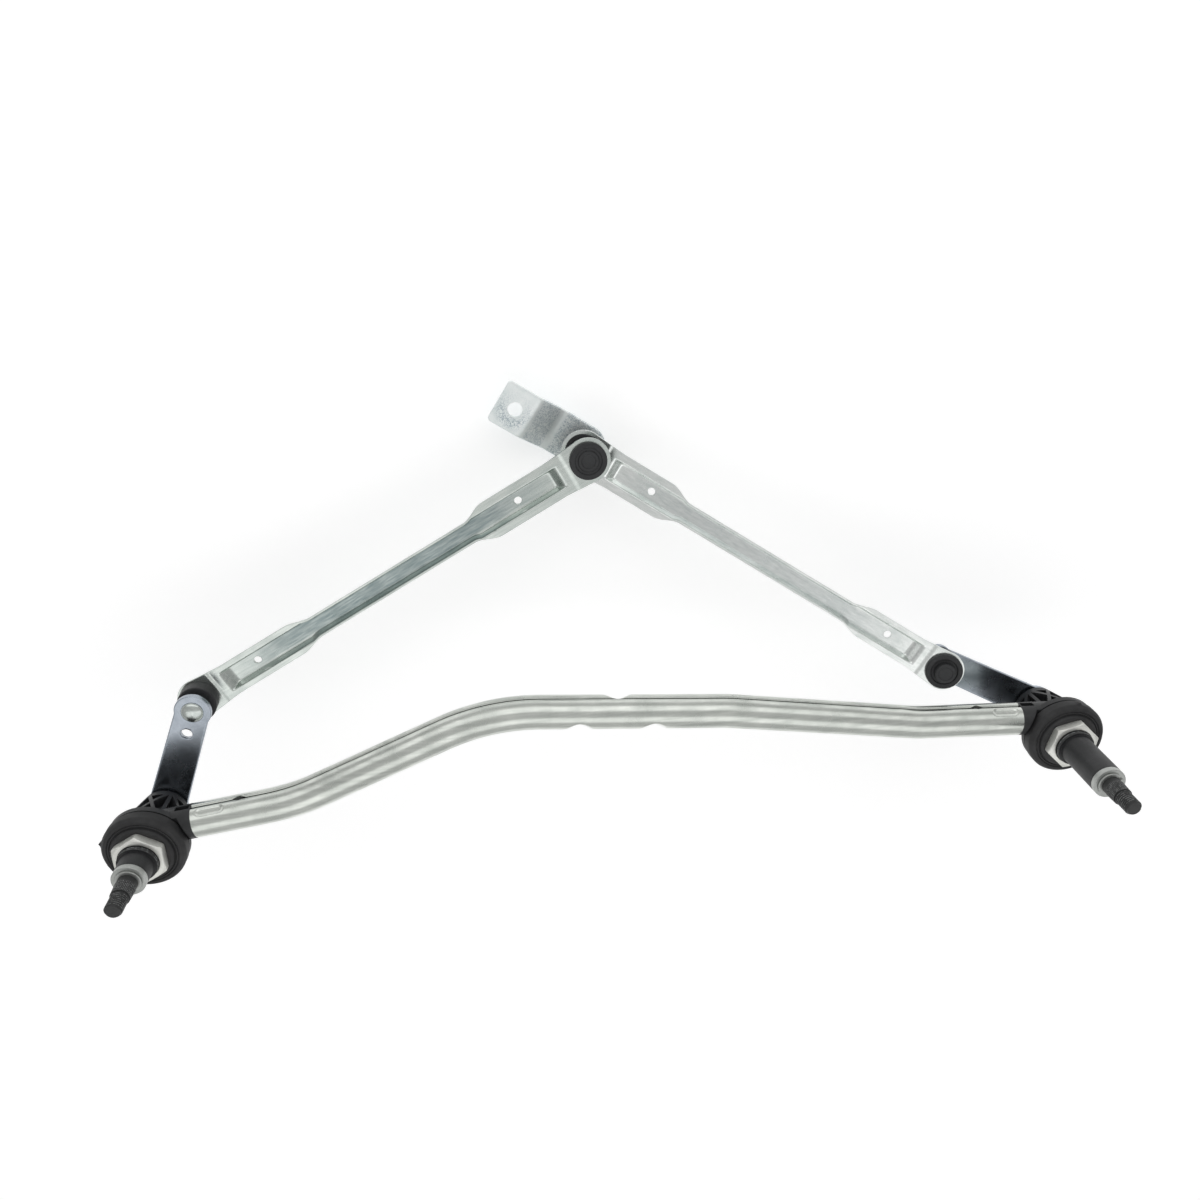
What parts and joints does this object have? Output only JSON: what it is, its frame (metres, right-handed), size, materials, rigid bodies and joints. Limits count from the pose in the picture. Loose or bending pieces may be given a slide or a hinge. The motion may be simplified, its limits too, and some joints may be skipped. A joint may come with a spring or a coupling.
{
  "type": "windscreen wiper linkage",
  "caption": "Windscreen wiper linkage: bent tube frame with a wiper pivot at each end, levers, pressed drive links on ball joints and a motor crank that joins the links.",
  "frame": {"origin": "on the left pivot axis, in the plane where the nut clamps the body panel on the grommet", "axes": "+X towards the right pivot, +Y towards the motor crank, +Z along the wiper shafts to their tips"},
  "size_m": [0.654, 0.2721, 0.1952],
  "materials": {
    "galvanised_tube": "galvanised rolled strip, bright with soft streaks",
    "zinc_plate": "bright zinc plating, slightly mottled",
    "lever_zinc": "bright zinc plating that mirrors the dark parts around it",
    "black_plastic": "glass-filled moulding, satin",
    "black_rubber": "matt moulded rubber",
    "sintered_bronze": "oil-filled sintered bronze",
    "black_shaft_steel": "black oxide, satin"
  },
  "bodies": {
    "frame": {"frame_tube": "galvanised_tube", "left_housing": "black_plastic", "right_housing": "black_plastic", "left_grommet": "black_rubber", "right_grommet": "black_rubber", "left_nut": "zinc_plate", "right_nut": "zinc_plate", "left_upper_bush": "sintered_bronze", "left_lower_bush": "sintered_bronze", "right_upper_bush": "sintered_bronze", "right_lower_bush": "sintered_bronze", "left_seal": "black_rubber", "right_seal": "black_rubber", "left_thrust_washer": "zinc_plate", "right_thrust_washer": "zinc_plate"},
    "left_wiper_shaft": {"left_shaft": "black_shaft_steel", "left_clip": "zinc_plate", "left_lever_washer": "zinc_plate", "left_lever": "lever_zinc", "left_ball_pin": "zinc_plate"},
    "right_wiper_shaft": {"right_shaft": "black_shaft_steel", "right_clip": "zinc_plate", "right_lever_washer": "zinc_plate", "right_lever": "lever_zinc", "right_ball_pin": "zinc_plate"},
    "left_drive_link": {"left_link": "zinc_plate", "left_link_lever_socket": "black_plastic", "left_link_crank_socket": "black_plastic"},
    "right_drive_link": {"right_link": "zinc_plate", "right_link_lever_socket": "black_plastic", "right_link_crank_socket": "black_plastic"},
    "motor_crank": {"crank_arm": "zinc_plate", "crank_ball_pin": "zinc_plate"}
  },
  "joints": [
    {"name": "left_shaft_turn", "type": "hinge", "parent": "frame", "child": "left_wiper_shaft", "pos_m": [0, 0, 0], "axis": [0, 0, 1], "range_deg": [-30, 4]},
    {"name": "right_shaft_turn", "type": "hinge", "parent": "frame", "child": "right_wiper_shaft", "pos_m": [0.6, 0, -0.02], "axis": [0, 0, 1], "range_deg": [-24.1, 3.3]},
    {"name": "left_link_turn", "type": "hinge", "parent": "left_wiper_shaft", "child": "left_drive_link", "pos_m": [0.03233, 0.06933, -0.0626], "axis": [0, 0, 1], "range_deg": [-5.13, 37.81]},
    {"name": "right_link_turn", "type": "hinge", "parent": "right_wiper_shaft", "child": "right_drive_link", "pos_m": [0.52552, 0.043, -0.0601], "axis": [0, 0, 1], "range_deg": [-3.85, 28.24]},
    {"name": "crank_turn", "type": "hinge", "parent": "left_drive_link", "child": "motor_crank", "pos_m": [0.29623, 0.19663, -0.106], "axis": [0, 0, 1], "continuous": true}
  ],
  "couplings": [
    {"joint": "right_shaft_turn", "follows": "left_shaft_turn", "ratio": 0.8},
    {"joint": "left_link_turn", "follows": "left_shaft_turn", "ratio": -1.257},
    {"joint": "right_link_turn", "follows": "left_shaft_turn", "ratio": -0.938}
  ]
}
